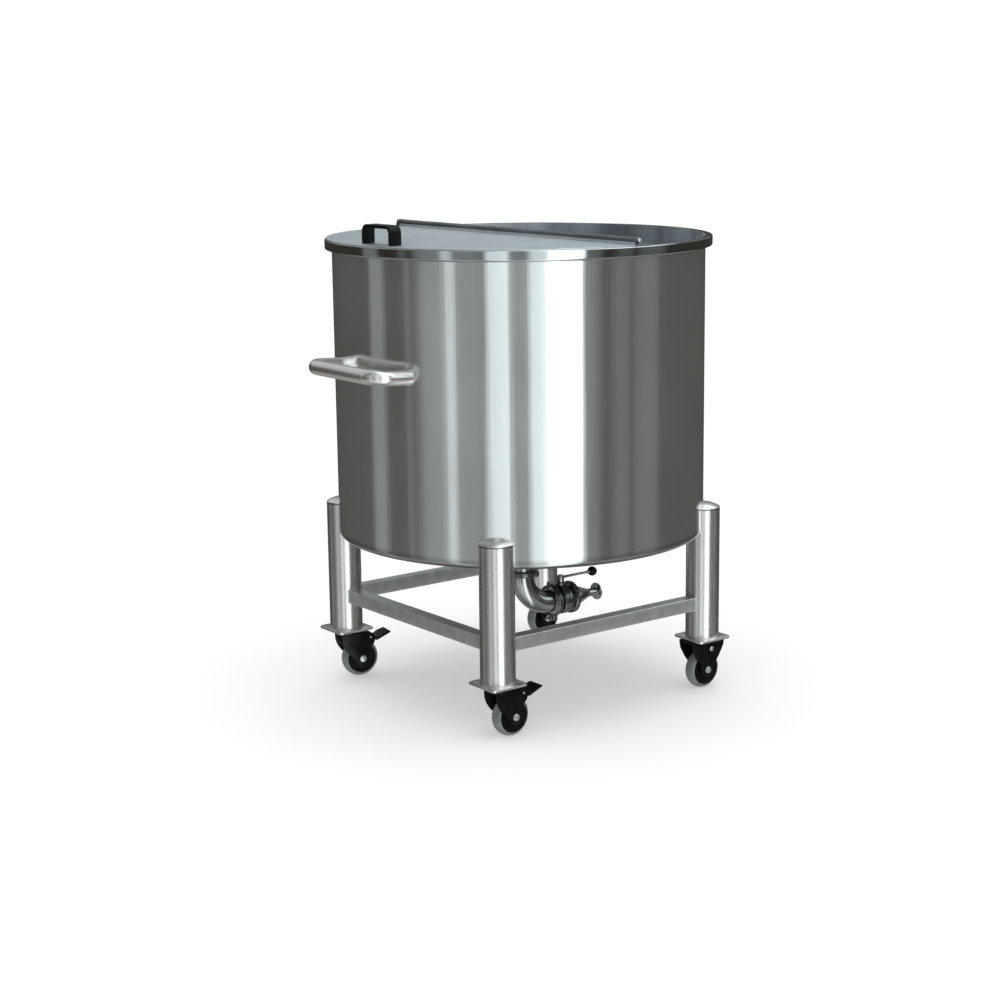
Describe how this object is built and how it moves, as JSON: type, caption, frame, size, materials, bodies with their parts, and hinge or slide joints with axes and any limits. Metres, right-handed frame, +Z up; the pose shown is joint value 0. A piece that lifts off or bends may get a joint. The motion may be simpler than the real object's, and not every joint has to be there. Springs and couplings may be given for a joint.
{
  "type": "mobile stainless steel storage tank",
  "caption": "Open-top round steel storage tank on castors, with a hinged half lid, a push handle and a bottom outlet with a lever valve.",
  "frame": {"origin": "middle of the whole footprint on the floor; the tank's own axis stands 29 mm towards +X of it, because the push handle reaches out at the rear", "axes": "+Z up; +X to the front, away from the push handle and the way the outlet points; +Y to the left of someone who pushes"},
  "size_m": [0.888, 0.83, 1.0376],
  "materials": {
    "brushed_steel": "brushed along the height, half bright",
    "satin_steel": "satin sheet",
    "black_steel": "black powder coat",
    "black_plastic": "moulded, fine grain",
    "grey_tread": "smooth elastic tread"
  },
  "bodies": {
    "tank": {"shell": "brushed_steel", "bottom_head": "satin_steel", "rim_ring": "brushed_steel", "mouth_bridge": "brushed_steel", "hinge_pin": "brushed_steel", "push_handle": "brushed_steel", "leg_rear_right": "brushed_steel", "leg_rear_left": "brushed_steel", "leg_front_right": "brushed_steel", "leg_front_left": "brushed_steel", "base_plate_rear_right": "brushed_steel", "base_plate_rear_left": "brushed_steel", "base_plate_front_right": "brushed_steel", "base_plate_front_left": "brushed_steel", "rail_right": "brushed_steel", "rail_left": "brushed_steel", "rail_rear": "brushed_steel", "swivel_race_rear_right": "black_steel", "swivel_race_rear_left": "black_steel", "fork_front_right": "black_steel", "fork_front_left": "black_steel", "drain_nozzle": "brushed_steel", "clamp_nozzle": "brushed_steel", "outlet_elbow": "brushed_steel", "clamp_elbow": "brushed_steel", "valve_body": "brushed_steel", "clamp_valve": "brushed_steel", "outlet_reducer": "brushed_steel"},
    "lid": {"lid": "satin_steel", "lid_handle": "black_plastic"},
    "lever": {"valve_lever": "brushed_steel", "lever_knob": "black_plastic"},
    "swivel_rear_right": {"fork_rear_right": "black_steel"},
    "swivel_rear_left": {"fork_rear_left": "black_steel"},
    "pedal_rear_right": {"brake_pedal_rear_right": "black_plastic"},
    "pedal_rear_left": {"brake_pedal_rear_left": "black_plastic"},
    "wheel_rear_right": {"wheel_tread_rear_right": "grey_tread", "wheel_hub_rear_right": "black_plastic"},
    "wheel_rear_left": {"wheel_tread_rear_left": "grey_tread", "wheel_hub_rear_left": "black_plastic"},
    "wheel_front_right": {"wheel_tread_front_right": "grey_tread", "wheel_hub_front_right": "black_plastic"},
    "wheel_front_left": {"wheel_tread_front_left": "grey_tread", "wheel_hub_front_left": "black_plastic"}
  },
  "joints": [
    {"name": "lid_hinge", "type": "hinge", "parent": "tank", "child": "lid", "pos_m": [0.0095, 0, 1.0075], "axis": [0, 1, 0], "range_deg": [0, 180]},
    {"name": "valve_turn", "type": "hinge", "parent": "tank", "child": "lever", "pos_m": [0.14, 0, 0.222], "axis": [0, 0, 1], "range_deg": [0, 90]},
    {"name": "swivel_rear_right", "type": "hinge", "parent": "tank", "child": "swivel_rear_right", "pos_m": [-0.25384, -0.28284, 0.11], "axis": [0, 0, 1], "continuous": true},
    {"name": "swivel_rear_left", "type": "hinge", "parent": "tank", "child": "swivel_rear_left", "pos_m": [-0.25384, 0.28284, 0.11], "axis": [0, 0, 1], "continuous": true},
    {"name": "pedal_rear_right", "type": "hinge", "parent": "swivel_rear_right", "child": "pedal_rear_right", "pos_m": [-0.20384, -0.28284, 0.0905], "axis": [0, 1, 0], "range_deg": [0, 14]},
    {"name": "pedal_rear_left", "type": "hinge", "parent": "swivel_rear_left", "child": "pedal_rear_left", "pos_m": [-0.2046, 0.27416, 0.0905], "axis": [0.1736, 0.9848, 0], "range_deg": [0, 14]},
    {"name": "spin_rear_right", "type": "hinge", "parent": "swivel_rear_right", "child": "wheel_rear_right", "pos_m": [-0.22384, -0.28284, 0.042], "axis": [0, 1, 0], "continuous": true},
    {"name": "spin_rear_left", "type": "hinge", "parent": "swivel_rear_left", "child": "wheel_rear_left", "pos_m": [-0.2243, 0.27763, 0.042], "axis": [0.1736, 0.9848, 0], "continuous": true},
    {"name": "spin_front_right", "type": "hinge", "parent": "tank", "child": "wheel_front_right", "pos_m": [0.31184, -0.28284, 0.042], "axis": [0, 1, 0], "continuous": true},
    {"name": "spin_front_left", "type": "hinge", "parent": "tank", "child": "wheel_front_left", "pos_m": [0.31184, 0.28284, 0.042], "axis": [0, 1, 0], "continuous": true}
  ]
}
